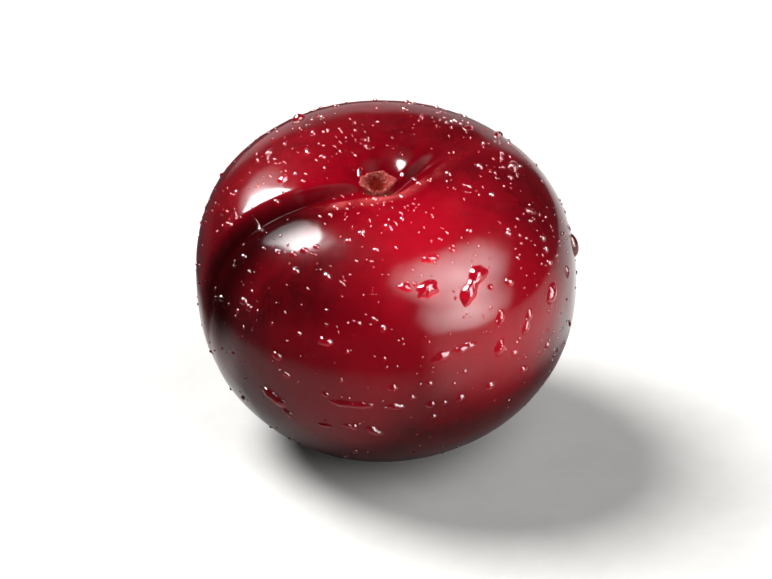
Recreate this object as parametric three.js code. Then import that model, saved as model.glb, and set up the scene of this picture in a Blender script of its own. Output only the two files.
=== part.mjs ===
// A red plum with its stalk gone, resting on a small flat spot. Millimetres, +Z up.
//
// The fruit is one solid. It is first described in its own frame, where +Z points out of
// the stalk end, +X lies on the side where the seam is deep, and +Y runs across the two
// cheeks. The mesh is then turned to the attitude in which it rests.

import * as THREE from "three";

// Body, from the fruit's centre at its widest girth. A fullness is the exponent of the
// profile's curve: 2 is an ellipse, and more is squarer.
const NARROW_HALF_WIDTH = 27.8;
const BROAD_HALF_WIDTH = 29.1;
const NARROW_WAY_FROM_SEAM = 51; // degrees, round the fruit
const HEIGHT_TO_SHOULDERS = 22.7;
const SHOULDER_FULLNESS = 2.85;
const DEPTH_TO_BLOSSOM_END = 26.7;
const BASE_FULLNESS = 2.06;
const BLOSSOM_END_TOWARDS_SEAM = 2.2; // how far the lower end lies off the axis
const BLOSSOM_END_ASIDE = -1.4;

// Stalk end: a wide shallow basin, and in it a narrow pit that holds the stalk's scar.
const BASIN_RADIUS = 10;
const BASIN_DEPTH = 2.0;
const PIT_RADIUS = 3.3;
const PIT_DEPTH = 2.2;
const PIT_TOWARDS_SEAM = 0.9; // how far the pit's middle lies off the axis
const PIT_ASIDE = -0.5;

// Seam: a valley with a crease at its bottom. It is deep on one side of the fruit, runs
// past the pit, turns there, and fades soon beyond it.
const SEAM_ASIDE = 1.7; // from the axis, towards +Y
const SEAM_DEPTH = 2.8;
const SEAM_DEEPEST_AT = 42; // degrees down from the stalk end
const SEAM_FADE_DOWN = 36; // degrees over which it fades, below its deepest place
const SEAM_FADE_UP = 30; // and above it
const FAR_SEAM_DEPTH = 1.8;
const FAR_SEAM_FADE = 34; // degrees
const FAR_SEAM_TURN = 0.6; // slope at which its far part bears off towards -Y
const FAR_SEAM_EASE = 3; // length over which it starts to turn
const SEAM_CROSSOVER = 0.15; // sine of the angle within which the near depth turns to the far
const SLOPE_WIDTH = 2.4; // of the valley's gentle side, towards +Y
const WALL_WIDTH = 1.3; // of its steep side, towards -Y
const CREASE_HALF_WIDTH = 0.9;
const CREASE_SHARE = 0.35; // of the depth, which the narrow crease makes

// Blossom end: a dimple.
const DIMPLE_DEPTH = 0.5;
const DIMPLE_RADIUS = 2.2;

// Attitude at rest, in degrees.
const LEAN_TOWARDS_FRONT = 12; // of the stalk axis from upright, towards -Y
const SEAM_BEARING = 195; // of the deep seam, anticlockwise from +X, seen from above

// Resting spot.
const SPOT_PRESSED_IN = 0.7;
const SPOT_EDGE_SOFTNESS = 0.25;

// Fineness of the surface: meridians crowd towards the seam, and rings towards the stalk.
const MERIDIANS = 80;
const RINGS = 50;
const CROWDING_AT_SEAM = 0.65;
const CROWDING_AT_STALK = 0.45;

const DEGREE = Math.PI / 180;
const X_AXIS = new THREE.Vector3(1, 0, 0);
const Z_AXIS = new THREE.Vector3(0, 0, 1);

// Smooth hollows: 1 at the middle, and near nothing beyond twice the radius.
const bowl = (distance, radius) => Math.exp(-((distance / radius) ** 2));
const steepBowl = (distance, radius) => Math.exp(-((distance / radius) ** 3));

// Distance from the centre to the plain body in a direction, before any hollow.
function bodyRadius(direction) {
  const turn = Math.atan2(direction.y, direction.x) - NARROW_WAY_FROM_SEAM * DEGREE;
  const narrow = Math.cos(turn) / NARROW_HALF_WIDTH;
  const broad = Math.sin(turn) / BROAD_HALF_WIDTH;
  const girth = Math.hypot(direction.x, direction.y) * Math.hypot(narrow, broad);
  const upper = direction.z > 0;
  const height = upper ? HEIGHT_TO_SHOULDERS : DEPTH_TO_BLOSSOM_END;
  const fullness = upper ? SHOULDER_FULLNESS : BASE_FULLNESS;
  const pole = Math.abs(direction.z) / height;
  return (girth ** fullness + pole ** fullness) ** (-1 / fullness);
}

// Depth of the basin and the pit at the stalk end, at a point of the plain body.
function stalkEndDepth(point) {
  if (point.z < 0) return 0;
  const fromAxis = Math.hypot(point.x, point.y);
  const fromPit = Math.hypot(point.x - PIT_TOWARDS_SEAM, point.y - PIT_ASIDE);
  return BASIN_DEPTH * bowl(fromAxis, BASIN_RADIUS) + PIT_DEPTH * steepBowl(fromPit, PIT_RADIUS);
}

// Depth of the dimple at the blossom end.
function blossomEndDepth(point) {
  if (point.z > 0) return 0;
  return DIMPLE_DEPTH * bowl(Math.hypot(point.x, point.y), DIMPLE_RADIUS);
}

// Depth of the seam, in a direction from the centre and at the body's point there.
function seamDepth(direction, point) {
  const down = direction.angleTo(Z_AXIS) / DEGREE;
  const fade = down > SEAM_DEEPEST_AT ? SEAM_FADE_DOWN : SEAM_FADE_UP;
  const near = SEAM_DEPTH * bowl(down - SEAM_DEEPEST_AT, fade);
  const far = FAR_SEAM_DEPTH * bowl(down, FAR_SEAM_FADE);
  const nearness = THREE.MathUtils.smoothstep(direction.x, -SEAM_CROSSOVER, SEAM_CROSSOVER);
  const beyond = Math.max(0, -point.x);
  const bend = (FAR_SEAM_TURN * beyond ** 2) / (beyond + FAR_SEAM_EASE);
  const aside = point.y - SEAM_ASIDE + bend;
  const valley = aside > 0 ? bowl(aside, SLOPE_WIDTH) : steepBowl(-aside, WALL_WIDTH);
  const crease = Math.exp(-Math.abs(aside) / CREASE_HALF_WIDTH);
  const profile = THREE.MathUtils.lerp(valley, crease, CREASE_SHARE);
  return THREE.MathUtils.lerp(far, near, nearness) * profile;
}

// The skin's point for a direction of the grid, in the fruit's own frame. The grid is
// centred on the seam's plane, so that a meridian runs along the crease.
function skinPoint(gridDirection) {
  const direction = gridDirection.clone();
  direction.y += SEAM_ASIDE / bodyRadius(gridDirection);
  direction.normalize();
  const body = direction.clone().multiplyScalar(bodyRadius(direction));
  const depth = stalkEndDepth(body) + blossomEndDepth(body) + seamDepth(direction, body);
  const skin = body.addScaledVector(direction, -depth);
  const low = Math.max(0, -skin.z / DEPTH_TO_BLOSSOM_END) ** 2;
  skin.x += BLOSSOM_END_TOWARDS_SEAM * low;
  skin.y += BLOSSOM_END_ASIDE * low;
  return skin;
}

// Moves a point that lies beyond a plane across the downward direction back to the plane,
// with a softened edge.
function pressFlat(point, down, planeAt) {
  const above = planeAt - point.dot(down);
  const soft = SPOT_EDGE_SOFTNESS;
  let pressed = above;
  if (above < -soft) pressed = 0;
  else if (above < soft) pressed = (above + soft) ** 2 / (4 * soft);
  return point.clone().addScaledVector(down, above - pressed);
}

// Direction of one point of a sphere's grid, with +Z as its pole. Along is the share of a
// turn round the fruit, and ring the share of the way from the stalk to the blossom end.
function directionOnGrid(along, ring) {
  const turn = 2 * Math.PI * along;
  const longitude = turn - CROWDING_AT_SEAM * Math.sin(turn);
  const polar = Math.PI * ring - CROWDING_AT_STALK * Math.sin(Math.PI * ring);
  const poleOnY = new THREE.Vector3().setFromSphericalCoords(1, polar, longitude);
  return new THREE.Vector3(poleOnY.z, poleOnY.x, poleOnY.y);
}

// A sphere's grid with each of its points moved to the skin, and the spot pressed flat.
function plumGeometry(attitude) {
  const geometry = new THREE.SphereGeometry(1, MERIDIANS, RINGS);
  const position = geometry.getAttribute("position");
  const uv = geometry.getAttribute("uv");
  const skin = [];
  for (let i = 0; i < position.count; i++) {
    const ring = Math.round((1 - uv.getY(i)) * RINGS) / RINGS;
    const atPole = ring === 0 || ring === 1;
    skin.push(skinPoint(directionOnGrid(atPole ? 0 : uv.getX(i), ring)));
  }
  const down = Z_AXIS.clone().negate().applyQuaternion(attitude.clone().invert());
  const lowest = Math.max(...skin.map((point) => point.dot(down)));
  skin.forEach((point, i) => {
    const pressed = pressFlat(point, down, lowest - SPOT_PRESSED_IN);
    position.setXYZ(i, pressed.x, pressed.y, pressed.z);
  });
  geometry.computeVertexNormals();
  return geometry;
}

// The seam is turned to its bearing first, and then the fruit leans towards the front.
function restingAttitude() {
  const bearing = new THREE.Quaternion().setFromAxisAngle(Z_AXIS, SEAM_BEARING * DEGREE);
  const lean = new THREE.Quaternion().setFromAxisAngle(X_AXIS, LEAN_TOWARDS_FRONT * DEGREE);
  return lean.multiply(bearing);
}

// The fruit, set down with the middle of its outline over the origin.
function makePlum() {
  const attitude = restingAttitude();
  const skin = new THREE.MeshStandardMaterial({ color: 0x9c0f1c, roughness: 0.28, metalness: 0 });
  const mesh = new THREE.Mesh(plumGeometry(attitude), skin);
  mesh.name = "plum";
  mesh.quaternion.copy(attitude);
  const box = new THREE.Box3().setFromObject(mesh, true);
  const centre = box.getCenter(new THREE.Vector3());
  mesh.position.set(-centre.x, -centre.y, -box.min.z);
  return mesh;
}

const plum = new THREE.Group();
plum.add(makePlum());

export default plum;
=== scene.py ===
# %% [markdown]
# # A wet red plum
# One fruit with its stalk gone, resting on a pale table. This lesson builds it in this order:
# the skin, the scar in the stalk's pit, the water on the skin, and then the finishes, the
# light and the camera. Lengths are in metres, +Z is up, and the table is at Z = 0.

# %% Load the fixed frame
import math
import random

import bpy
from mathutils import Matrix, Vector, noise
from mathutils.bvhtree import BVHTree


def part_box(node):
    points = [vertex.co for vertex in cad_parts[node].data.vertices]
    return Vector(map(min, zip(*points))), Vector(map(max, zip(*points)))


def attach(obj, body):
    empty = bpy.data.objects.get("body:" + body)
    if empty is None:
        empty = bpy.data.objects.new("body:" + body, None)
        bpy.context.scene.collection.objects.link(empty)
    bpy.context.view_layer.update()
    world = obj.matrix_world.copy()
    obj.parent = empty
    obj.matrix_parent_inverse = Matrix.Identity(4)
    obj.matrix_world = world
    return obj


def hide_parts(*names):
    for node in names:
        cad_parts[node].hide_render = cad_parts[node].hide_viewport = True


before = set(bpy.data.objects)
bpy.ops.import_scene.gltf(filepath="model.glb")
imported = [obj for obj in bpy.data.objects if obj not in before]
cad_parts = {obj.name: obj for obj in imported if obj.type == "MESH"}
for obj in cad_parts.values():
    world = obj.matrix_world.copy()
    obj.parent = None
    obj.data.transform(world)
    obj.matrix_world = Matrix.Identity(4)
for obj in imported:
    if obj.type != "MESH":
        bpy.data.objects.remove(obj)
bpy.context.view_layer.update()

MM = 0.001
cad_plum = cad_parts["plum"]
low_corner, high_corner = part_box("plum")
fruit_centre = (low_corner + high_corner) / 2
print("plum box, mm:", [round(side / MM, 1) for side in high_corner - low_corner])

# %% [markdown]
# ## Tools of the bench
# Blender's operators work on what is selected and active, and after loading everything is
# selected. So each step first picks its own piece. Two more small tools apply a modifier to
# a piece, and count the triangles that it would be cut into.

# %% Pick a piece, apply a modifier, count triangles
def pick(piece):
    bpy.ops.object.select_all(action="DESELECT")
    piece.select_set(True)
    bpy.context.view_layer.objects.active = piece


def apply_modifier(piece, kind, name, **settings):
    pick(piece)
    modifier = piece.modifiers.new(name, kind)
    for setting, value in settings.items():
        setattr(modifier, setting, value)
    bpy.ops.object.modifier_apply(modifier=name)


def count_triangles(piece):
    return sum(len(face.vertices) - 2 for face in piece.data.polygons)


print("bench tools ready")

# %% [markdown]
# ## The skin
# The skin is what shows of the fruit, and its big shape is already right in the frame: two
# cheeks, a seam and a pit. A copy of that mesh is a good cage. Its loose triangles are
# merged and turned back to four-sided faces, because a subdivision surface flows evenly
# only over those. Two levels take the facets away and leave the seam's crease soft.

# %% Copy the plum and round it
SAME_POINT = 0.001 * MM
QUAD_TOLERANCE = math.radians(70)  # generous, so that nearly every pair of triangles joins

bpy.ops.object.select_all(action="DESELECT")
skin = bpy.data.objects.new("plum_skin", cad_plum.data.copy())
bpy.context.scene.collection.objects.link(skin)
pick(skin)
bpy.ops.mesh.customdata_custom_splitnormals_clear()
bpy.ops.object.mode_set(mode="EDIT")
bpy.ops.mesh.select_all(action="SELECT")
bpy.ops.mesh.remove_doubles(threshold=SAME_POINT)
bpy.ops.mesh.tris_convert_to_quads(
    face_threshold=QUAD_TOLERANCE, shape_threshold=QUAD_TOLERANCE
)
bpy.ops.object.mode_set(mode="OBJECT")
quads = sum(len(face.vertices) == 4 for face in skin.data.polygons)
print("skin cage:", len(skin.data.polygons), "faces, of which", quads, "have four sides")
apply_modifier(skin, "SUBSURF", "rounding", levels=2, render_levels=2)
bpy.ops.object.shade_smooth()
print("rounded skin:", count_triangles(skin), "triangles")

# %% [markdown]
# ## Ripe fruit isn't turned on a lathe
# The flesh under the skin swells unevenly, so a ripe plum has shallow swells a centimetre or
# so apart, and finer ones of a few millimetres, which bend the edges of each reflection. They
# could be sculpted, but cloud textures in Displace modifiers give them all over at
# once. The resting spot stays flat, so a group of vertices keeps the swells off it.

# %% Press swells into the skin
REST_CLEARANCE = 2.5 * MM
# name, spacing and height
SWELLS = [("broad_swells", 11 * MM, 0.26 * MM), ("small_swells", 3.2 * MM, 0.05 * MM)]

above_rest = skin.vertex_groups.new(name="above_rest")
for vertex in skin.data.vertices:
    weight = min(1.0, max(0.0, vertex.co.z / REST_CLEARANCE))
    above_rest.add([vertex.index], weight, "REPLACE")

for name, spacing, height in SWELLS:
    clouds = bpy.data.textures.new(name, "CLOUDS")
    clouds.noise_scale = spacing
    clouds.noise_depth = 1
    apply_modifier(
        skin, "DISPLACE", name, texture=clouds, texture_coords="LOCAL",
        strength=height, mid_level=0.5, vertex_group="above_rest",
    )
print("swells:", ", ".join(name for name, _, _ in SWELLS))

# %% [markdown]
# ## A way to find the skin
# The scar and the water lie on the skin, wherever it is. A search tree of the skin's faces
# answers two questions quickly: where a ray meets the skin, and how the skin faces there. The
# faces' corner normals are blended, because a face's own normal would make a drop lean.

# %% Search tree and smooth normals
CLOSEST = 0.01 * MM  # keeps the weight of a corner that is hit exactly within bounds

skin.data.update()
skin_tree = BVHTree.FromPolygons(
    [vertex.co.copy() for vertex in skin.data.vertices],
    [tuple(face.vertices) for face in skin.data.polygons],
)


def smooth_normal(place, face_index):
    total = Vector((0, 0, 0))
    for index in skin.data.polygons[face_index].vertices:
        corner = skin.data.vertices[index]
        total += corner.normal / ((corner.co - place).length + CLOSEST)
    return total.normalized()


def skin_under(start, direction):
    place, _, face_index, _ = skin_tree.ray_cast(start, direction)
    if place is None:
        return None
    return place, smooth_normal(place, face_index)


print("search tree over", len(skin.data.polygons), "faces")

# %% [markdown]
# ## The scar of the stalk
# Where the stalk came off, a corky scar stays at the bottom of the pit: a torn rim round a
# rough, darker floor, with the stump of the vessels in its middle. It could be a bump in the
# skin's finish, but its rim is thick enough to catch the light. So a disc is made from a
# circle, inset and raised ring by ring, stretched a little, and roughened by a texture.

# %% Model the scar flat
SCAR_RADIUS = 2.1 * MM
SCAR_STRETCH = 1.3  # it is a little wider than deep
ROUGHNESS_SPACING = 0.70 * MM
ROUGHNESS_HEIGHT = 0.40 * MM
# inset and rise of each ring in mm, from the torn rim inwards to the stump
RIM_STEPS = [(0.12, 0.28), (0.18, 0.16), (0.25, -0.04), (0.35, -0.14), (0.40, -0.02), (0.35, 0.14)]

bpy.ops.object.select_all(action="DESELECT")
bpy.ops.mesh.primitive_circle_add(vertices=40, radius=SCAR_RADIUS, fill_type="NGON")
scar = bpy.context.object
scar.name = "stalk_scar"
bpy.ops.object.mode_set(mode="EDIT")
bpy.ops.mesh.select_all(action="SELECT")
for inset, rise in RIM_STEPS:
    bpy.ops.mesh.inset(thickness=inset * MM, depth=0)
    bpy.ops.transform.translate(value=(0, 0, rise * MM))
bpy.ops.mesh.poke()
bpy.ops.mesh.select_all(action="SELECT")
bpy.ops.transform.resize(value=(SCAR_STRETCH, 1, 1))
bpy.ops.object.mode_set(mode="OBJECT")
apply_modifier(scar, "SUBSURF", "finer_scar", levels=2, render_levels=2)
torn_edge = bpy.data.textures.new("torn_edge", "CLOUDS")
torn_edge.noise_scale = ROUGHNESS_SPACING
apply_modifier(
    scar, "DISPLACE", "torn_edge", texture=torn_edge, texture_coords="LOCAL",
    strength=ROUGHNESS_HEIGHT, mid_level=0.5,
)
print("flat scar:", count_triangles(scar), "triangles")

# %% [markdown]
# ## Laying the scar in the pit
# The pit is steep, and a flat disc would sink into its slope on one side and stand off on the
# other. So each of its points is dropped onto the skin and lifted by its own height, which is
# what a Shrinkwrap modifier does, but here the edge is made ragged on the way. The outline
# goes just under the skin.

# %% Drop each point of the scar onto the skin
PIT_MOUTH = Vector((-0.11 * MM, -6.83 * MM, 55 * MM))  # over the pit's deepest place
SCAR_ASIDE = Vector((-1.5 * MM, 1.7 * MM, 0))  # the stalk sat a little behind that place
STALK_LEAN = math.radians(12)
STALK_AXIS = Vector((0, -math.sin(STALK_LEAN), math.cos(STALK_LEAN)))
SCAR_SUNK = 0.12 * MM
SCAR_RAGGED = 0.32  # how unevenly its edge tore
TEARS_ROUND_EDGE = 1.6  # how often the torn edge swings in and out
TEAR_SEED = Vector((2.3, 0, 0))
OVER_SCAR = 3 * MM

pit_floor, _ = skin_under(PIT_MOUTH, -STALK_AXIS)
scar_seat, seat_facing = skin_under(PIT_MOUTH + SCAR_ASIDE, -STALK_AXIS)
scar_facing = (STALK_AXIS + seat_facing).normalized()
lie_on_seat = scar_facing.to_track_quat("Z", "Y").to_matrix()
for vertex in scar.data.vertices:
    from_stump = Vector((vertex.co.x, vertex.co.y, 0))
    tear = noise.noise(TEARS_ROUND_EDGE * from_stump.normalized() + TEAR_SEED)
    flat = scar_seat + lie_on_seat @ ((1 + SCAR_RAGGED * tear) * from_stump)
    on_skin, _ = skin_under(flat + OVER_SCAR * scar_facing, -scar_facing)
    vertex.co = on_skin + (vertex.co.z - SCAR_SUNK) * scar_facing
pick(scar)
bpy.ops.object.shade_smooth()
print("scar, mm:", [round(side / MM, 1) for side in scar.dimensions])
print("its seat, mm:", [round(c / MM, 1) for c in scar_seat])

# %% [markdown]
# ## Water: one drop, modelled once in each of three finenesses
# The fruit has just been rinsed. Water beads on its waxy skin as caps that meet it at a
# clear angle, from fine spray to drops a few millimetres long. Each cap could be a metaball,
# but those melt together and are heavy. Here a cap is cut from a sphere with a bisect and
# closed below. It is made coarse, medium and fine, because spray that is repeated by the
# hundred can only afford a few faces, and a drop that is looked at closely needs many.

# %% Cut the drop's cap from a sphere
CONTACT_CUT = 0.32  # height of the cut on a sphere of radius 1: it sets the contact angle


def model_cap(name, segments, rings):
    bpy.ops.object.select_all(action="DESELECT")
    bpy.ops.mesh.primitive_uv_sphere_add(segments=segments, ring_count=rings, radius=1)
    cap = bpy.context.object
    cap.name = name
    bpy.ops.object.mode_set(mode="EDIT")
    bpy.ops.mesh.select_all(action="SELECT")
    bpy.ops.mesh.bisect(
        plane_co=(0, 0, CONTACT_CUT), plane_no=(0, 0, 1), use_fill=True, clear_inner=True
    )
    bpy.ops.mesh.select_all(action="SELECT")
    bpy.ops.transform.translate(value=(0, 0, -CONTACT_CUT))
    bpy.ops.mesh.normals_make_consistent(inside=False)
    bpy.ops.object.mode_set(mode="OBJECT")
    rim = max(math.hypot(vertex.co.x, vertex.co.y) for vertex in cap.data.vertices)
    top = max(vertex.co.z for vertex in cap.data.vertices)
    points = [(v.co.x / rim, v.co.y / rim, v.co.z / top) for v in cap.data.vertices]
    faces = [tuple(face.vertices) for face in cap.data.polygons]
    bpy.data.objects.remove(cap)
    print(name, "has", len(faces), "faces")
    return points, faces


COARSE_CAP = model_cap("coarse_cap", 8, 8)
MEDIUM_CAP = model_cap("medium_cap", 14, 14)
FINE_CAP = model_cap("fine_cap", 36, 36)

# %% [markdown]
# ## Laying a drop on the skin
# A drop has a length, a width and a turn on the skin, and its outline is a little irregular,
# because water catches on dry spots. Each point of a cap is moved out along the skin from the
# drop's foot, dropped straight onto the skin, and lifted by its own height. The cap's rim goes
# just under the skin, so that no gap shows.

# %% Wrap a cap onto the skin
SUNK_BELOW_SKIN = 0.03 * MM
REACH = 6 * MM  # how far above and below the drop's foot the skin is looked for
SMOOTH_UP_TO = math.radians(50)
LOBES = 1.4  # how often the outline swings in and out
WAIST_WIDTH = 0.35  # of half the length


def lay_drop(cap, foot, facing, length, width, turn, irregular, waist, plump, key):
    across = facing.cross(Vector((0, 0, 1)))
    if across.length < 0.05:
        across = Vector((1, 0, 0))
    across.normalize()
    along = across * math.cos(turn) + facing.cross(across) * math.sin(turn)
    beside = facing.cross(along)
    height = plump * min(length, width) / 2
    laid = []
    for x, y, z in cap[0]:
        around = Vector((x, y, 0))
        if around.length > 0.001:
            around.normalize()
        wobble = 1 + irregular * noise.noise(around * LOBES + Vector((key, 0.37 * key, 0)))
        pinch = 1 - waist * math.exp(-((x / WAIST_WIDTH) ** 2))
        flat = foot + wobble * (x * length * along + y * pinch * width * beside) / 2
        found = skin_under(flat + REACH * facing, -facing)
        on_skin = found[0] if found and (found[0] - flat).length < REACH else flat
        laid.append(on_skin + (z * pinch * height - SUNK_BELOW_SKIN) * facing)
    return laid


def pour(name, drops):
    points = []
    faces = []
    for cap, *drop in drops:
        first = len(points)
        points += lay_drop(cap, *drop)
        faces += [tuple(first + index for index in face) for face in cap[1]]
    mesh = bpy.data.meshes.new(name)
    mesh.from_pydata(points, [], faces)
    mesh.update()
    water = bpy.data.objects.new(name, mesh)
    bpy.context.scene.collection.objects.link(water)
    pick(water)
    bpy.ops.object.shade_smooth_by_angle(angle=SMOOTH_UP_TO)
    print(name, "has", len(drops), "drops and", count_triangles(water), "triangles")
    return water


# %% [markdown]
# ## The drops that catch the eye
# On the side that faces the camera the larger drops give the fruit its character: a long
# double one where the right cheek is brightest, short runs along the foot, and beads on the
# crown. Chance would not put them there. Each is set by how far right and up of the fruit's
# middle it looks, in millimetres, and a ray along the line of sight finds it on the skin.

# %% Place the larger drops
LOOK_DOWN = math.radians(30)
TOWARDS_EYE = Vector((0, -math.cos(LOOK_DOWN), math.sin(LOOK_DOWN)))
EYE_RIGHT = Vector((1, 0, 0))
EYE_UP = Vector((0, math.sin(LOOK_DOWN), math.cos(LOOK_DOWN)))
OUTSIDE = 0.2  # metres: a ray that starts this far from the fruit meets its near side first
FINE_FROM = 2.1  # mm: a longer drop gets the fine cap
PLUMP = 0.85  # height of a drop as a share of half its lesser side

# right, up, length and width in mm, turn on the skin in degrees, irregularity, waist
DROPS_IN_SIGHT = [
    # the long double drop, its neighbours, and the beads down the right cheek
    (12.7, 0.9, 6.9, 3.3, 48, 0.35, 0.45),
    (6.0, 0.1, 3.4, 2.4, 35, 0.55, 0.0),
    (6.4, 4.5, 2.6, 1.3, 0, 0.30, 0.0),
    (2.8, 0.3, 2.2, 1.3, -25, 0.35, 0.0),
    (18.1, 1.1, 1.7, 1.3, -20, 0.25, 0.0),
    (9.7, 5.8, 1.3, 0.8, -30, 0.25, 0.0),
    (16.7, -4.1, 2.4, 1.6, 70, 0.30, 0.0),
    (20.8, -4.7, 4.4, 1.7, 65, 0.35, 0.5),
    (24.4, -0.7, 3.6, 2.0, 60, 0.35, 0.0),
    (16.7, -8.6, 2.9, 1.8, 75, 0.30, 0.0),
    (11.7, -8.4, 3.8, 1.7, 15, 0.45, 0.3),
    (8.2, -9.8, 3.4, 1.6, 20, 0.45, 0.0),
    (27.0, 2.7, 1.9, 1.0, 85, 0.25, 0.0),
    (28.3, 6.6, 4.0, 1.9, 82, 0.20, 0.0),
    (23.2, 7.6, 1.4, 1.1, 40, 0.30, 0.0),
    (23.6, 6.0, 1.4, 1.0, 70, 0.30, 0.0),
    (24.2, 4.0, 1.3, 1.0, 20, 0.30, 0.0),
    (20.4, -11.8, 1.5, 1.2, 0, 0.25, 0.0),
    (15.3, -14.2, 1.7, 1.3, 30, 0.25, 0.0),
    (24.0, -8.3, 1.2, 0.9, 60, 0.25, 0.0),
    # the runs along the foot
    (-16.6, -16.0, 4.6, 2.0, -28, 0.40, 0.25),
    (-14.4, -18.5, 2.6, 0.9, -52, 0.30, 0.0),
    (-5.1, -16.9, 6.2, 1.5, 2, 0.35, 0.3),
    (1.4, -17.2, 2.9, 1.2, 0, 0.35, 0.0),
    (6.6, -16.9, 1.8, 1.2, 10, 0.30, 0.0),
    (8.6, -16.6, 1.1, 0.9, 0, 0.25, 0.0),
    (10.9, -16.0, 1.7, 1.1, 30, 0.30, 0.0),
    (3.8, -15.8, 1.2, 0.9, 0, 0.25, 0.0),
    (-1.7, -20.9, 3.2, 1.5, -30, 0.35, 0.0),
    (-9.1, -20.1, 2.5, 0.9, 2, 0.30, 0.0),
    (-5.7, -20.1, 1.3, 0.8, 0, 0.25, 0.0),
    (1.0, -14.4, 1.7, 1.1, 0, 0.30, 0.0),
    (6.4, -13.8, 1.3, 1.0, 0, 0.25, 0.0),
    (11.5, -12.0, 1.1, 0.8, 20, 0.25, 0.0),
    (-8.9, -15.4, 1.3, 0.9, 0, 0.25, 0.0),
    (-14.6, -12.6, 1.3, 0.9, -20, 0.25, 0.0),
    (-8.9, -7.6, 2.4, 1.5, 0, 0.25, 0.0),
    (-16.0, -9.8, 1.8, 1.2, -25, 0.30, 0.0),
    (7.0, -18.7, 1.3, 0.8, 0, 0.25, 0.0),
    # beads at the pit, by the seam, on the near shoulder and on the crown
    (-3.9, 17.6, 2.2, 0.9, 35, 0.30, 0.0),
    (2.3, 16.9, 1.7, 0.9, 65, 0.30, 0.0),
    (4.2, 16.4, 1.2, 0.8, 40, 0.20, 0.0),
    (-13.6, 5.2, 1.2, 1.0, 0, 0.12, 0.0),
    (-12.0, 5.7, 1.5, 1.1, 20, 0.15, 0.0),
    (-16.0, 5.4, 1.2, 0.9, 0, 0.12, 0.0),
    (-10.2, 6.3, 1.1, 0.9, 0, 0.12, 0.0),
    (-18.0, 6.1, 1.1, 0.8, 0, 0.12, 0.0),
    (-15.2, 16.4, 2.2, 1.3, 80, 0.30, 0.0),
    (-17.5, 20.6, 1.7, 1.1, -50, 0.25, 0.0),
    (-11.8, 20.6, 1.8, 1.0, -40, 0.25, 0.0),
    (-9.5, 19.8, 1.2, 0.9, 0, 0.20, 0.0),
    (-11.0, 23.5, 1.1, 1.0, 0, 0.15, 0.0),
    (-23.4, 9.7, 1.4, 1.0, 0, 0.20, 0.0),
    (-18.6, 8.9, 1.2, 1.0, 0, 0.15, 0.0),
    (-16.2, 12.9, 1.2, 1.0, 0, 0.15, 0.0),
    (-7.4, 12.0, 1.2, 1.0, 0, 0.15, 0.0),
    (-21.0, 4.9, 1.3, 1.1, 0, 0.20, 0.0),
    (-21.0, -1.7, 1.5, 1.3, 0, 0.20, 0.0),
    (-13.2, 2.7, 1.4, 1.2, 0, 0.20, 0.0),
    (-0.4, -5.7, 1.3, 1.0, 70, 0.20, 0.0),
    (-3.5, 8.4, 1.7, 0.9, 45, 0.30, 0.0),
    (0.2, 9.1, 1.9, 1.2, -40, 0.35, 0.0),
    (2.4, 10.4, 1.3, 0.9, 80, 0.20, 0.0),
    (-5.5, 7.2, 1.4, 0.8, 35, 0.25, 0.0),
    (-1.5, 5.8, 1.2, 0.8, 20, 0.25, 0.0),
    (12.3, 8.6, 1.3, 0.8, 0, 0.20, 0.0),
    (18.1, 8.2, 1.2, 1.0, 0, 0.15, 0.0),
    (21.4, 11.6, 2.4, 1.1, -45, 0.35, 0.0),
    (19.0, 18.4, 2.4, 1.9, 0, 0.30, 0.0),
    (9.2, 17.2, 1.2, 1.0, 0, 0.15, 0.0),
    (4.8, 15.7, 1.2, 1.0, 70, 0.15, 0.0),
    (15.7, 14.0, 1.1, 0.9, 0, 0.15, 0.0),
    (12.4, 24.4, 2.8, 1.0, -38, 0.35, 0.0),
    (16.7, 23.6, 2.8, 1.0, -28, 0.35, 0.0),
    (5.4, 26.1, 1.3, 1.0, 0, 0.20, 0.0),
    (2.9, 27.3, 1.3, 1.0, 0, 0.20, 0.0),
]

dice = random.Random(31)
drops = []
for right, up, length, width, turn, irregular, waist in DROPS_IN_SIGHT:
    eye = fruit_centre + right * MM * EYE_RIGHT + up * MM * EYE_UP + OUTSIDE * TOWARDS_EYE
    found = skin_under(eye, -TOWARDS_EYE)
    if found:
        cap = FINE_CAP if length > FINE_FROM else MEDIUM_CAP
        size = (length * MM, width * MM, math.radians(turn))
        drops.append((cap, *found, *size, irregular, waist, PLUMP, dice.uniform(0, 90)))
print("larger drops in sight:", len(drops))

# %% [markdown]
# ## Beads and spray all round
# The rest of the water is scattered by chance, but not evenly: it gathers in drifts, and the
# lower skin has run nearly dry. Points are drawn over the whole fruit, kept by how wet it is
# there, and the seam's bottom and the resting spot stay free. The dice have a fixed seed,
# so that the fruit is the same each time.

# %% Scatter beads and spray
DRY_BELOW = 4 * MM
WET_RISE = 30 * MM  # height over which the skin turns from nearly dry to wet
BROAD_DRIFTS = 7 * MM
SMALL_DRIFTS = 2.5 * MM
SCATTER_FROM = 0.1  # metres from the fruit's middle, well outside the skin
SEAM_WALL = 0.86  # cosine between the skin's facing and the way out: less is a steep wall
SCATTERED_IRREGULAR = 0.3
# number, cap, smallest size and mean of what chance adds to it
BEADS = (120, MEDIUM_CAP, 0.55 * MM, 0.22 * MM)
SPRAY = (950, COARSE_CAP, 0.34 * MM, 0.12 * MM)


def wetness(place):
    drift = noise.noise(place / BROAD_DRIFTS) + 0.5 * noise.noise(place / SMALL_DRIFTS)
    lift = min(1.0, max(0.10, (place.z - 3 * DRY_BELOW) / WET_RISE))
    return lift * min(1.0, max(0.08, 0.5 + 0.9 * drift))


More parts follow.
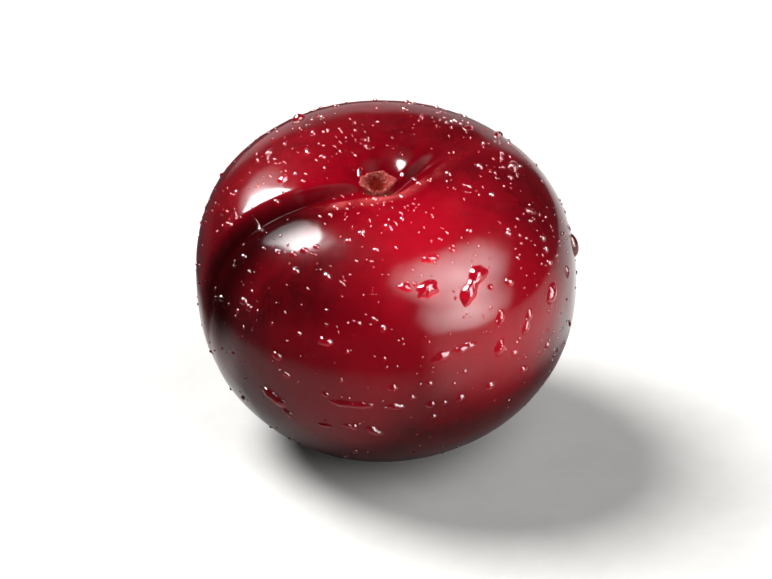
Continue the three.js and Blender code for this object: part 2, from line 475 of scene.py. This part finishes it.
def scatter(count, cap, smallest, spread):
    scattered = []
    while len(scattered) < count:
        way = Vector((dice.gauss(0, 1), dice.gauss(0, 1), dice.gauss(0, 1))).normalized()
        found = skin_under(fruit_centre + SCATTER_FROM * way, -way)
        if not found or found[0].z < DRY_BELOW or dice.random() > wetness(found[0]):
            continue
        if found[1].dot(way) < SEAM_WALL:
            continue
        size = min(smallest * 4, smallest + dice.expovariate(1 / spread))
        shape = (size, size * dice.uniform(0.7, 1.0), dice.uniform(0, math.pi))
        key = dice.uniform(0, 90)
        scattered.append((cap, *found, *shape, SCATTERED_IRREGULAR, 0.0, PLUMP, key))
    return scattered


drops += scatter(*BEADS)
water_drops = pour("water_drops", drops)
water_spray = pour("water_spray", scatter(*SPRAY))

# %% [markdown]
# ## Wiring finishes
# A finish is a small network of nodes. They could be placed one by one, but a few helpers keep
# the wiring readable. The first ones add a node, and start a group or a material. The others
# add the nodes that come back again and again: fades, products, measures, noise and mixes.

# %% Helpers that add a node and start a group or a material
def add_node(tree, kind, inputs=(), **settings):
    node = tree.nodes.new(kind)
    for setting, value in settings.items():
        setattr(node, setting, value)
    for socket, value in dict(inputs).items():
        if isinstance(value, bpy.types.NodeSocket):
            tree.links.new(value, node.inputs[socket])
        else:
            node.inputs[socket].default_value = value
    return node


def start_group(name, inputs, outputs):
    tree = bpy.data.node_groups.new(name, "ShaderNodeTree")
    for socket, kind, value in inputs:
        made = tree.interface.new_socket(name=socket, in_out="INPUT", socket_type=kind)
        if value is not None:
            made.default_value = value
    for socket, kind in outputs:
        tree.interface.new_socket(name=socket, in_out="OUTPUT", socket_type=kind)
    return tree, tree.nodes.new("NodeGroupInput"), tree.nodes.new("NodeGroupOutput")


def start_material(name):
    material = bpy.data.materials.new(name)
    material.use_nodes = True
    return material, material.node_tree, material.node_tree.nodes["Principled BSDF"]


print("wiring can start")

# %% Helpers for fades, products, measures, noise and mixes
# A fade goes from 0 at start to 1 at end. With start above end it falls as the value grows.
def fade(tree, value, start, end):
    edges = {"Value": value, "From Min": start, "From Max": end}
    node = add_node(tree, "ShaderNodeMapRange", edges, interpolation_type="SMOOTHSTEP")
    return node.outputs["Result"]


def remap(tree, value, start, end, new_start, new_end):
    edges = {"Value": value, "From Min": start, "From Max": end}
    ends = {"To Min": new_start, "To Max": new_end}
    return add_node(tree, "ShaderNodeMapRange", {**edges, **ends}).outputs["Result"]


def calculate(tree, operation, first, second):
    node = add_node(tree, "ShaderNodeMath", {0: first, 1: second}, operation=operation)
    return node.outputs[0]


def multiply(tree, product, *factors):
    for factor in factors:
        product = calculate(tree, "MULTIPLY", product, factor)
    return product


def measure(tree, operation, *vectors):
    inputs = dict(enumerate(vectors))
    return add_node(tree, "ShaderNodeVectorMath", inputs, operation=operation).outputs["Value"]


def noise_at(tree, place, scale, detail, roughness=0.5, distortion=0.0):
    look = {"Scale": scale, "Detail": detail, "Roughness": roughness, "Distortion": distortion}
    return add_node(tree, "ShaderNodeTexNoise", {"Vector": place, **look}).outputs[0]


def blend_colours(tree, share, first, second):
    inputs = {0: share, 6: first, 7: second}
    return add_node(tree, "ShaderNodeMix", inputs, data_type="RGBA").outputs[2]


print("node helpers ready")

# %% [markdown]
# ## The colour of ripeness, and painted light
# A red plum ripens unevenly: some places turn crimson first and others lag behind, fine
# streaks run from the stalk to the tip, and the rest of the skin is a dark maroon. That could
# be painted, but a paint layer belongs to one mesh. One group mixes a bright and a deep red
# by three things added together, which are streaks, blotches, and a few wide flushes. The
# flushes are partly ripeness and partly painted light: the strong one low on the front
# paints light bounced up from the table.

# %% Group for ripeness and painted light
# way from the fruit's middle, closeness to it at which the flush starts, and its strength,
# which is below zero where the skin is darker. The flushes are partly ripeness and partly
# painted light, and the second paints light bounced up from the table.
FLUSHES_AND_PAINTED_LIGHT = [
    ((0.38, -0.81, 0.45), 0.64, 0.56),
    ((-0.33, -0.93, -0.13), 0.84, 0.60),
    ((0.62, -0.75, 0.23), 0.86, 0.25),
    ((-0.40, -0.24, 0.885), 0.78, 0.18),
    ((0.64, -0.54, 0.55), 0.91, -0.22),
    ((-0.22, -0.82, 0.53), 0.95, -0.14),
]
ALONG_STALK = {"Rotation": (-STALK_LEAN, 0, 0), "Scale": (1, 1, 0.16)}
STREAK_STRENGTH = 0.07
BLOTCH_STRENGTH = 0.12

ripeness_and_painted_light, inside, outside = start_group(
    "ripeness_and_painted_light",
    [
        ("Place", "NodeSocketVector", None),
        ("Bright", "NodeSocketColor", (0.5, 0.01, 0.02, 1)),
        ("Deep", "NodeSocketColor", (0.2, 0.004, 0.01, 1)),
    ],
    [("Colour", "NodeSocketColor")],
)
place = inside.outputs["Place"]
drawn_out = add_node(ripeness_and_painted_light, "ShaderNodeMapping", {"Vector": place, **ALONG_STALK}).outputs[0]
streaks = noise_at(ripeness_and_painted_light, drawn_out, 650.0, 4.0, 0.6)
blotches = noise_at(ripeness_and_painted_light, place, 120.0, 5.0, 0.55, 0.6)
ripe_and_painted_light = calculate(
    ripeness_and_painted_light, "ADD",
    multiply(ripeness_and_painted_light, fade(ripeness_and_painted_light, streaks, 0.30, 0.72), STREAK_STRENGTH),
    multiply(ripeness_and_painted_light, fade(ripeness_and_painted_light, blotches, 0.28, 0.72), BLOTCH_STRENGTH),
)
way_out = add_node(ripeness_and_painted_light, "ShaderNodeVectorMath", {0: place}, operation="NORMALIZE").outputs[0]
# each flush is partly ripeness and partly painted light
for towards, closeness, strength in FLUSHES_AND_PAINTED_LIGHT:
    near = fade(ripeness_and_painted_light, measure(ripeness_and_painted_light, "DOT_PRODUCT", way_out, towards), closeness, 1.0)
    ripe_and_painted_light = calculate(ripeness_and_painted_light, "ADD", ripe_and_painted_light, multiply(ripeness_and_painted_light, near, strength))
ripe_and_painted_light = add_node(ripeness_and_painted_light, "ShaderNodeClamp", {"Value": ripe_and_painted_light}).outputs[0]
colour = blend_colours(ripeness_and_painted_light, ripe_and_painted_light, inside.outputs["Deep"], inside.outputs["Bright"])
ripeness_and_painted_light.links.new(colour, outside.inputs["Colour"])
print("ripeness group:", len(ripeness_and_painted_light.nodes), "nodes")

# %% [markdown]
# ## Lenticels
# The skin breathes through lenticels: pale corky dots a few tenths of a millimetre wide and
# two or three millimetres apart. A Voronoi pattern has one middle to each cell, so the
# distance from it makes a dot, and the cell's own random colour decides how strong it is.

# %% Lenticel group
lenticels, inside, outside = start_group(
    "lenticels",
    [
        ("Place", "NodeSocketVector", None),
        ("Scale", "NodeSocketFloat", 420.0),
        ("Dot", "NodeSocketFloat", 0.1),
    ],
    [("Mask", "NodeSocketFloat")],
)
cells = add_node(
    lenticels, "ShaderNodeTexVoronoi",
    {"Vector": inside.outputs["Place"], "Scale": inside.outputs["Scale"]}, feature="F1",
)
dot = fade(lenticels, cells.outputs["Distance"], inside.outputs["Dot"], 0.0)
chance = add_node(lenticels, "ShaderNodeSeparateColor", {"Color": cells.outputs["Color"]})
strength = fade(lenticels, chance.outputs[0], 0.25, 0.9)
lenticels.links.new(multiply(lenticels, dot, strength), outside.inputs["Mask"])
print("lenticel group:", len(lenticels.nodes), "nodes")

# %% [markdown]
# ## The hollows
# In the seam the skin is darker: that is painted shade. On the seam's front lip a thin pale
# line is a painted reflection. Round the scar the skin is dull and russet. All of these are
# known from the fruit's build: the seam lies in a plane beside the pit, so three measures are
# enough, which are how far a point lies aside of that plane, how far out along it, and how
# high.

# %% Measures from the pit and the seam
ACROSS_SEAM = (0.259, -0.945, -0.201)  # square to the seam's plane, towards the front cheek
SEAM_WAY = (-0.966, -0.253, -0.054)  # in that plane, from the pit towards the deep side
SEAM_FROM_PIT = 2.2 * MM

hollows, inside, outside = start_group(
    "hollows",
    [("Place", "NodeSocketVector", None)],
    [
        ("Seam", "NodeSocketFloat"), ("Pit", "NodeSocketFloat"),
        ("Dull", "NodeSocketFloat"), ("Painted lip reflection", "NodeSocketFloat"),
    ],
)
place = inside.outputs["Place"]
from_pit = add_node(
    hollows, "ShaderNodeVectorMath", {0: place, 1: tuple(pit_floor)}, operation="SUBTRACT"
).outputs[0]
across = measure(hollows, "DOT_PRODUCT", from_pit, ACROSS_SEAM)
aside = calculate(hollows, "SUBTRACT", across, SEAM_FROM_PIT)
outwards = measure(hollows, "DOT_PRODUCT", from_pit, SEAM_WAY)
height = add_node(hollows, "ShaderNodeSeparateXYZ", {0: place}).outputs["Z"]
print("seam's plane passes", round(SEAM_FROM_PIT / MM, 1), "mm from the pit's middle")

# %% [markdown]
# ## Painted shade in the seam, and a painted reflection on its lip
# The band of painted shade follows the seam's deep side and fades towards the pit and the
# foot. The pale line, a painted reflection, runs along the lip, past the pit, and on to where
# the crease turns off, so its distance is taken from the crease itself, with the same bend as
# the crease has.

# %% Seam and lip masks
CREASE_TURN = 0.6  # slope at which the crease turns off beyond the pit
CREASE_EASE = 3.0 * MM  # length over which it starts to turn

rear_edge = fade(hollows, aside, -3.0 * MM, -1.2 * MM)
front_edge = fade(hollows, aside, 9.0 * MM, 3.0 * MM)
high_up = fade(hollows, height, 17.0 * MM, 28.0 * MM)
off_pit = fade(hollows, outwards, 4.0 * MM, 16.0 * MM)
# painted shade along the seam's deep side
painted_seam_shade = multiply(hollows, rear_edge, front_edge, high_up, off_pit)
hollows.links.new(painted_seam_shade, outside.inputs["Seam"])

beyond = calculate(hollows, "MAXIMUM", 0.0, multiply(hollows, outwards, -1.0))
turned_off = calculate(
    hollows, "DIVIDE",
    multiply(hollows, beyond, beyond, CREASE_TURN),
    calculate(hollows, "ADD", beyond, CREASE_EASE),
)
from_crease = calculate(hollows, "ADD", aside, turned_off)
# painted reflection along the seam's lip
painted_lip_reflection = multiply(
    hollows,
    fade(hollows, from_crease, 0.2 * MM, 1.0 * MM),
    fade(hollows, from_crease, 3.6 * MM, 1.2 * MM),
    fade(hollows, outwards, -12.0 * MM, -5.0 * MM),
    fade(hollows, outwards, 15.0 * MM, 7.0 * MM),
)
hollows.links.new(painted_lip_reflection, outside.inputs["Painted lip reflection"])
print("hollow group so far:", len(hollows.nodes), "nodes")

# %% [markdown]
# ## Russet pit and dull wax
# Where the water has not washed the wax away, the skin mirrors little. That is all round the
# pit, but for a spot on its far lip where a drop has run off, and in the seam with its rear
# wall. Without that mask the hollows would mirror the bright boxes, as no real hollow does.

# %% Pit and dullness masks
GLOSSY_LIP = (1.6 * MM, 0.4 * MM, 47.6 * MM)  # where the drop has run off
STAIN_FROM_PIT = 1.4 * MM  # the russet reaches further on the seam's side
DULL_PIT = 0.96
DULL_SEAM = 0.95

stain_middle = tuple(STAIN_FROM_PIT * part for part in SEAM_WAY)
from_stain = measure(hollows, "DISTANCE", from_pit, stain_middle)
hollows.links.new(fade(hollows, from_stain, 3.4 * MM, 1.4 * MM), outside.inputs["Pit"])

dull_pit = multiply(
    hollows,
    fade(hollows, measure(hollows, "LENGTH", from_pit), 13.0 * MM, 7.0 * MM),
    fade(hollows, measure(hollows, "DISTANCE", place, GLOSSY_LIP), 1.9 * MM, 2.9 * MM),
    DULL_PIT,
)
rear_wall = multiply(
    hollows,
    fade(hollows, aside, -5.4 * MM, -4.4 * MM),
    fade(hollows, outwards, 13.8 * MM, 12.0 * MM),
)
dull_seam = multiply(
    hollows,
    calculate(hollows, "MAXIMUM", rear_edge, rear_wall),
    front_edge,
    high_up,
    fade(hollows, outwards, 0.5 * MM, 5.0 * MM),
    DULL_SEAM,
)
hollows.links.new(calculate(hollows, "MAXIMUM", dull_pit, dull_seam), outside.inputs["Dull"])
print("hollow group:", len(hollows.nodes), "nodes")

# %% [markdown]
# ## Plum skin
# The finished skin is a deep pigment under a thin wax that water has made glossy. A matt and
# a glossy shader could be mixed by hand, but the principled shader has a clear coat for this:
# its base carries the reds and scatters a little light in the flesh, and the coat over it
# gives the sharp reflections. The colours come first, each laid over the last by its mask.

# %% Colours of the skin
BRIGHT_RED = (0.185, 0.0011, 0.0058, 1)
DEEP_RED = (0.024, 0.0002, 0.0008, 1)
PATCHES = {"scale": 210.0, "detail": 6.0, "roughness": 0.68}

plum_skin, tree, shader = start_material("plum_skin")
object_place = add_node(tree, "ShaderNodeTexCoord").outputs["Object"]
from_middle = {"Vector": object_place, "Location": (0, 0, -fruit_centre.z)}
place = add_node(tree, "ShaderNodeMapping", from_middle).outputs[0]
reds = add_node(
    tree, "ShaderNodeGroup", {"Place": place, "Bright": BRIGHT_RED, "Deep": DEEP_RED},
    node_tree=ripeness_and_painted_light,
)
dots = add_node(
    tree, "ShaderNodeGroup", {"Place": place, "Scale": 430.0, "Dot": 0.11}, node_tree=lenticels
)
hollow = add_node(tree, "ShaderNodeGroup", {"Place": object_place}, node_tree=hollows)
patches = noise_at(tree, place, **PATCHES)

# mask, its share, and the colour that it lays over what is there
COLOUR_LAYERS = [
    (dots.outputs["Mask"], 0.75, (0.30, 0.060, 0.050, 1)),  # lenticel pink
    (fade(tree, patches, 0.48, 0.80), 0.04, (0.16, 0.035, 0.04, 1)),  # haze of wax
    # painted shade in the seam
    (hollow.outputs["Seam"], 0.93, (0.005, 0.0004, 0.0005, 1)),  # maroon in the seam
    # painted reflection along the seam's lip
    (hollow.outputs["Painted lip reflection"], fade(tree, patches, 0.35, 0.70), (0.15, 0.021, 0.021, 1)),  # its lip
    (hollow.outputs["Pit"], 0.75, (0.040, 0.008, 0.005, 1)),  # russet in the pit
]
colour = reds.outputs["Colour"]
for mask, share, over in COLOUR_LAYERS:
    colour = blend_colours(tree, multiply(tree, mask, share), colour, over)
tree.links.new(colour, shader.inputs["Base Color"])
print("skin colours:", len(tree.nodes), "nodes")

# %% [markdown]
# ## Gloss of the skin
# Fine bumps like orange peel break the edges of the reflections. The coat is left off where
# the wax is dull. It is left off under water too, for rays that have passed through a drop,
# because wet skin hardly mirrors: water bends light nearly as much as wax does.

# %% Relief, flesh and coat of the skin
peel = noise_at(tree, place, 1300.0, 3.0)
relief = calculate(tree, "ADD", peel, multiply(tree, dots.outputs["Mask"], 0.5))
bumps = {"Height": relief, "Strength": 0.35, "Distance": 0.03 * MM}
tree.links.new(add_node(tree, "ShaderNodeBump", bumps).outputs[0], shader.inputs["Normal"])
tree.links.new(remap(tree, patches, 0.3, 0.75, 0.30, 0.46), shader.inputs["Roughness"])

path = add_node(tree, "ShaderNodeLightPath")
in_air = calculate(tree, "SUBTRACT", 1.0, path.outputs["Is Transmission Ray"])
washed = calculate(tree, "SUBTRACT", 1.0, hollow.outputs["Dull"])
tree.links.new(multiply(tree, in_air, washed), shader.inputs["Coat Weight"])
shader.inputs["Coat Roughness"].default_value = 0.14
shader.inputs["Coat IOR"].default_value = 1.45
shader.inputs["IOR"].default_value = 1.45
shader.inputs["Specular IOR Level"].default_value = 0.0
shader.inputs["Subsurface Weight"].default_value = 0.12
shader.inputs["Subsurface Radius"].default_value = (1.0, 0.12, 0.08)
shader.inputs["Subsurface Scale"].default_value = 1.5 * MM
skin.data.materials.clear()
skin.data.materials.append(plum_skin)
print("skin material:", len(tree.nodes), "nodes")

# %% [markdown]
# ## Scar cork
# The scar is dead cork, matt and grainy: reddish brown in the middle, lighter on the torn rim,
# with pale flecks there. The colours follow the distance from the scar's middle, disturbed by
# noise, because rings with clean edges would look turned on a lathe.

# %% Scar material
CORK_MIDDLE = (0.045, 0.003, 0.002, 1)
CORK_RIM = (0.12, 0.018, 0.016, 1)
CORK_FLECKS = (0.22, 0.085, 0.065, 1)
RING_DISTURBED = 0.9 * MM

scar_cork, tree, shader = start_material("scar_cork")
place = add_node(tree, "ShaderNodeTexCoord").outputs["Object"]
grain = noise_at(tree, place, 2600.0, 5.0, 0.7)
uneven_ring = calculate(
    tree, "ADD",
    measure(tree, "DISTANCE", place, tuple(scar_seat)),
    multiply(tree, calculate(tree, "SUBTRACT", grain, 0.5), RING_DISTURBED),
)
on_rim = fade(tree, uneven_ring, 0.9 * MM, 2.2 * MM)
cork = blend_colours(tree, on_rim, CORK_MIDDLE, CORK_RIM)
flecks = multiply(tree, on_rim, fade(tree, grain, 0.50, 0.68))
tree.links.new(blend_colours(tree, flecks, cork, CORK_FLECKS), shader.inputs["Base Color"])
dryness = fade(tree, grain, 0.2, 0.9)
tree.links.new(remap(tree, dryness, 0.0, 1.0, 0.45, 0.85), shader.inputs["Roughness"])
bumps = {"Height": grain, "Strength": 0.7, "Distance": 0.12 * MM}
tree.links.new(add_node(tree, "ShaderNodeBump", bumps).outputs[0], shader.inputs["Normal"])
shader.inputs["Specular IOR Level"].default_value = 0.0
scar.data.materials.append(scar_cork)
print("scar material:", len(tree.nodes), "nodes")

# %% [markdown]
# ## Water
# Water is clear and bends light with an index of 1.33. Real drops let the light through to
# the skin below. A path tracer would need many samples to find that light, so for shadow rays
# alone the water is transparent, and the skin under a drop stays lit.

# %% Water material
water, tree, shader = start_material("water")
shader.inputs["Base Color"].default_value = (1, 1, 1, 1)
shader.inputs["Transmission Weight"].default_value = 1.0
shader.inputs["IOR"].default_value = 1.33
shader.inputs["Coat Weight"].default_value = 1.0
shader.inputs["Coat IOR"].default_value = 1.6
shader.inputs["Coat Roughness"].default_value = 0.02
place = add_node(tree, "ShaderNodeTexCoord").outputs["Object"]
ripple = noise_at(tree, place, 700.0, 2.0)
tree.links.new(remap(tree, ripple, 0.0, 1.0, 0.0, 0.05), shader.inputs["Roughness"])
clear = add_node(tree, "ShaderNodeBsdfTransparent")
path = add_node(tree, "ShaderNodeLightPath")
either = add_node(
    tree, "ShaderNodeMixShader",
    {0: path.outputs["Is Shadow Ray"], 1: shader.outputs[0], 2: clear.outputs[0]},
)
tree.links.new(either.outputs[0], tree.nodes["Material Output"].inputs["Surface"])
for piece in (water_drops, water_spray):
    piece.data.materials.append(water)
print("water material:", len(tree.nodes), "nodes")

# %% [markdown]
# ## The table
# A plain pale table top shows the contact shadow and throws light back up on the fruit. It is
# a wide disc, so that from any side it runs on behind the fruit, and its only detail is a
# breath of unevenness in tone.

# %% Table top
TABLE_RADIUS = 0.45
PALE_TOP = (0.24, 0.237, 0.23, 1)
PALER_TOP = (0.26, 0.257, 0.25, 1)

bpy.ops.object.select_all(action="DESELECT")
bpy.ops.mesh.primitive_circle_add(vertices=128, radius=TABLE_RADIUS, fill_type="NGON")
table = bpy.context.object
table.name = "table_top"
pale_table, tree, shader = start_material("pale_table")
flat_place = add_node(tree, "ShaderNodeTexCoord").outputs["Object"]
mottle = fade(tree, noise_at(tree, flat_place, 60.0, 8.0, 0.7), 0.3, 0.7)
tone = blend_colours(tree, mottle, PALE_TOP, PALER_TOP)
shader.inputs["Roughness"].default_value = 0.6
shader.inputs["Specular IOR Level"].default_value = 0.0
table.data.materials.append(pale_table)
print("table top, m:", [round(side, 2) for side in table.dimensions])

# %% [markdown]
# ## The dark card on the table
# Glossy fruit mirrors what stands round it. A black card is often laid beside shiny things,
# out of sight, to keep their sides deep. Here the table carries painted shade instead: mirrored
# rays see a dark place that lies to the left and reaches round the front, and a painted contact
# shadow in a ring round the foot, and light that bounces off them is dimmed too, while the
# camera sees the plain table. Towards the rear left the card lets more of the near table show.

# %% Dark card
CARD_SIDE = (-0.996, -0.087, 0)
OPEN_SIDE = (-0.90, 0.43, 0)
CARD_STARTS = 0.046  # metres from the foot, where it begins to deepen
CARD_FULL = 0.066  # metres from the foot, from where on it is darkest
# painted contact shadow round the foot, seen in reflections and bounced light
PAINTED_CONTACT_SHADOW_REACH = (0.052, 0.040)  # the dark ring round the foot fades over these
CARD_NEAR = 0.68  # how dark it is near the foot, where 1 is darkest
CARD_OPENED = 0.40  # how much less it is so on the open side
PAINTED_SHADE_BLACK = (0.012, 0.012, 0.013, 1)
BOUNCED_SHARE = 0.7

away = measure(tree, "LENGTH", flat_place)
way = add_node(tree, "ShaderNodeVectorMath", {0: flat_place}, operation="NORMALIZE").outputs[0]
open_side = fade(tree, measure(tree, "DOT_PRODUCT", way, OPEN_SIDE), 0.80, 0.95)
near_share = calculate(tree, "SUBTRACT", CARD_NEAR, multiply(tree, open_side, CARD_OPENED))
deepening = add_node(
    tree, "ShaderNodeMapRange",
    {"Value": away, "From Min": CARD_STARTS, "From Max": CARD_FULL, "To Min": near_share},
    interpolation_type="SMOOTHSTEP",
).outputs["Result"]
at_left = fade(tree, measure(tree, "DOT_PRODUCT", way, CARD_SIDE), -0.45, -0.15)
# painted shade on the table, seen only by mirrored and bounced rays
painted_shade = calculate(
    tree, "MAXIMUM",
    multiply(tree, deepening, at_left),
    multiply(tree, fade(tree, away, *PAINTED_CONTACT_SHADOW_REACH), near_share),
)
ray = add_node(tree, "ShaderNodeLightPath")
bounced = multiply(tree, ray.outputs["Is Diffuse Ray"], BOUNCED_SHARE)
seen_by = calculate(tree, "MAXIMUM", bounced, ray.outputs["Is Glossy Ray"])
seen_tone = blend_colours(tree, multiply(tree, painted_shade, seen_by), tone, PAINTED_SHADE_BLACK)
tree.links.new(seen_tone, shader.inputs["Base Color"])
print("table material:", len(tree.nodes), "nodes")

# %% [markdown]
# ## Soft boxes
# Glossy fruit is lit by what it mirrors. A bright soft box at the upper left makes the white
# glints beside the seam, and a small dim one behind it adds a milky patch on the rear cheek.
# Two at the right, one low and one high, make the wide pale reflection on the front. Mesh
# lights would do, but an area light can keep its light in a cone, and then its reflection
# fades towards the edge, as a soft box's does.

# %% Soft boxes
def soft_box(name, way, distance, size, spread, power):
    way = Vector(way).normalized()
    bpy.ops.object.select_all(action="DESELECT")
    bpy.ops.object.light_add(type="AREA", location=fruit_centre + distance * way)
    box = bpy.context.object
    box.name = name
    box.data.shape = "ELLIPSE"
    box.data.size, box.data.size_y = size
    box.data.spread = math.radians(spread)
    box.data.energy = power
    box.rotation_euler = (-way).to_track_quat("-Z", "Y").to_euler()
    print(name, "stands at", [round(c, 2) for c in box.location])


# name, way from the fruit, distance, size, cone in degrees, and power in watts
soft_box("left_box", (-0.54, 0.24, 0.81), 0.8, (0.48, 0.54), 90, 8.6)
soft_box("rear_box", (-0.57, 0.48, 0.67), 0.8, (0.56, 0.44), 36, 0.14)
soft_box("right_low_box", (0.69, -0.69, 0.23), 0.8, (0.89, 0.89), 58, 2.2)
soft_box("right_high_box", (0.51, -0.39, 0.77), 0.8, (0.96, 0.96), 62, 3.2)

# %% [markdown]
# ## The room
# The room is dim, but for a pale backdrop low behind the fruit, which draws the light band
# along its top, and which a dark flag cuts off at the left. The camera itself sees an even,
# pale wall. A room could be built of planes, but a world made of nodes is lighter and has no
# edges. It doesn't depend on where the camera stands.

# %% Surrounding light
DIM_ROOM = (0.035, 0.035, 0.038, 1)
PALE_BACKDROP = (0.6, 0.6, 0.61, 1)
SEEN_WALL = (0.90, 0.90, 0.91, 1)
BACKDROP_WAY = (-0.035, 1.0, 0)
FLAG_WAY = (-0.88, 0.38, -0.30)

surroundings = bpy.data.worlds.new("surroundings")
surroundings.use_nodes = True
bpy.context.scene.world = surroundings
tree = surroundings.node_tree
direction = add_node(tree, "ShaderNodeTexCoord").outputs["Generated"]
upwards = add_node(tree, "ShaderNodeSeparateXYZ", {0: direction}).outputs["Z"]
backdrop = multiply(
    tree,
    fade(tree, measure(tree, "DOT_PRODUCT", direction, BACKDROP_WAY), 0.89, 0.95),
    fade(tree, upwards, 0.60, 0.42),
    fade(tree, measure(tree, "DOT_PRODUCT", direction, FLAG_WAY), 0.96, 0.80),
)
room = blend_colours(tree, backdrop, DIM_ROOM, PALE_BACKDROP)
ray = add_node(tree, "ShaderNodeLightPath")
seen_room = blend_colours(tree, ray.outputs["Is Camera Ray"], room, SEEN_WALL)
background = tree.nodes["Background"]
tree.links.new(seen_room, background.inputs["Color"])
background.inputs["Strength"].default_value = 1.0
print("surroundings:", len(tree.nodes), "nodes")

# %% [markdown]
# ## Camera
# The fruit is seen from thirty degrees above its table. A short lens close by would make the
# near cheek swell, so a long lens is used from further off, which keeps the outline nearly
# free of perspective.

# %% Camera
CAMERA_DISTANCE = 0.62
LONG_LENS = 190  # mm, over a sensor of 36 mm

camera_data = bpy.data.cameras.new("camera")
camera_data.lens = LONG_LENS
camera_data.sensor_width = 36
camera = bpy.data.objects.new("camera", camera_data)
bpy.context.scene.collection.objects.link(camera)
camera.location = fruit_centre + CAMERA_DISTANCE * TOWARDS_EYE
camera.rotation_euler = (-TOWARDS_EYE).to_track_quat("-Z", "Y").to_euler()
bpy.context.scene.camera = camera
bpy.context.scene.view_settings.view_transform = "Standard"
bpy.context.scene.cycles.use_denoising = True
print("camera at", [round(c, 3) for c in camera.location])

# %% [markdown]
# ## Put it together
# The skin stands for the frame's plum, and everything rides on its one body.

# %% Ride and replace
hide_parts("plum")
for piece, slot_name in (
    (skin, "plum_skin"), (scar, "plum_skin"), (water_drops, "water"), (water_spray, "water")
):
    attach(piece, "root")
